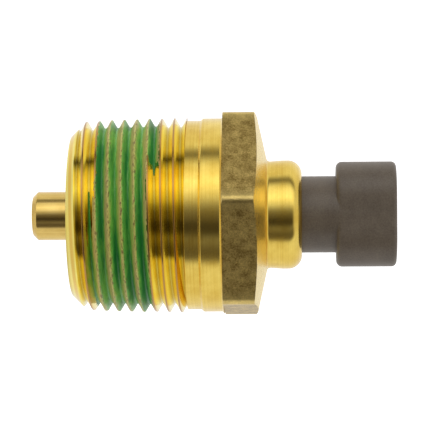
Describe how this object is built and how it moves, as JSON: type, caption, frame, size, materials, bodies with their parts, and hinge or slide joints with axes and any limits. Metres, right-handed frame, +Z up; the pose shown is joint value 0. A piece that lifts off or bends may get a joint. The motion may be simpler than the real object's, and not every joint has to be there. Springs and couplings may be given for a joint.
{
  "type": "pressure switch",
  "caption": "Screw-in pressure switch with a brass pipe-thread body, hex, sprung diaphragm mechanism and a two-way sealed plastic connector.",
  "frame": {"origin": "centre of the body's flat front face, where the pipe thread starts", "axes": "+X along the switch's axis from the inlet nozzle to the connector; +Z up along the long side of the connector's oval head; the latch ramp is on the +Y side"},
  "size_m": [0.0635, 0.038, 0.0356],
  "materials": {
    "body_brass": "turned, with a rough forged hex",
    "nozzle_brass": "drawn and turned",
    "thread_sealant": "dried coat, satin",
    "housing_plastic": "moulded, fine spark texture",
    "seal_rubber": "smooth",
    "diaphragm_film": "smooth amber film",
    "stainless": "turned",
    "spring_steel": "drawn wire",
    "pusher_phenolic": "moulded",
    "contact_bronze": "stamped",
    "contact_silver": "headed rivet",
    "terminal_tin": "tin plate",
    "base_plastic": "moulded",
    "potting_resin": "poured"
  },
  "bodies": {
    "switch_body": {"brass_body": "body_brass", "inlet_nozzle": "nozzle_brass", "snubber_plug": "stainless", "thread_sealant": "thread_sealant", "diaphragm_seal_ring": "seal_rubber", "diaphragm": "diaphragm_film", "guide_ring": "nozzle_brass", "set_spring": "spring_steel", "calibration_shim": "stainless", "contact_base": "base_plastic", "fixed_contacts": "contact_silver", "terminal_blade_upper": "terminal_tin", "terminal_blade_lower": "terminal_tin", "terminal_potting": "potting_resin", "connector_housing": "housing_plastic", "housing_seal_ring": "seal_rubber", "crimp_washer": "stainless"},
    "plunger": {"pressure_piston": "stainless", "insulating_pusher": "pusher_phenolic", "bridge_clip": "spring_steel", "contact_spring": "spring_steel"},
    "bridge": {"contact_bridge": "contact_bronze", "moving_contacts": "contact_silver"}
  },
  "joints": [
    {"name": "piston_slide", "type": "slide", "parent": "switch_body", "child": "plunger", "axis": [1, 0, 0], "range_m": [0, 0.0007], "stiffness_N_per_m": 5000, "springref_m": -0.0018, "deforming": ["set_spring", "diaphragm"]},
    {"name": "bridge_slide", "type": "slide", "parent": "switch_body", "child": "bridge", "axis": [1, 0, 0], "range_m": [0, 0.00042], "deforming": ["contact_spring"]}
  ],
  "couplings": [
    {"joint": "bridge_slide", "follows": "piston_slide", "ratio": 0.6}
  ]
}
